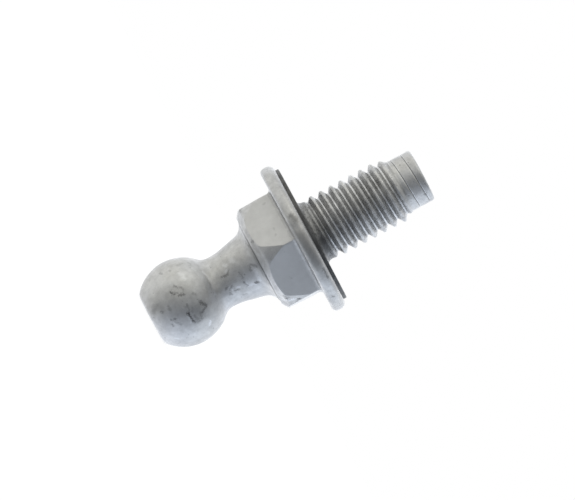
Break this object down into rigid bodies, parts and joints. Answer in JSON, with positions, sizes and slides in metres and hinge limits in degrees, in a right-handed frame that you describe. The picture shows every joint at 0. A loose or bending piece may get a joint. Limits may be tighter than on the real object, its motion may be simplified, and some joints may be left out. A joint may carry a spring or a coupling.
{
  "type": "threaded ball stud",
  "caption": "One-piece ball stud: a ball with a flat end on a waisted neck, a hexagon, a round flange with a raised bearing face, and a right-hand threaded shank with a plain pilot.",
  "frame": {"origin": "centre of the flat that cuts the ball's free end, the face that the stud stands on", "axes": "+Z along the stud's axis, from the ball's flat to the tip of the pilot; one corner of the hexagon points to -Y"},
  "size_m": [0.0142, 0.0142, 0.0274],
  "materials": {
    "coated_steel": "matt silver-grey zinc flake coating with fine pits and a few dark scuffs, on forged and rolled steel"
  },
  "bodies": {
    "root": {"ball_stud": "coated_steel"}
  },
  "joints": []
}
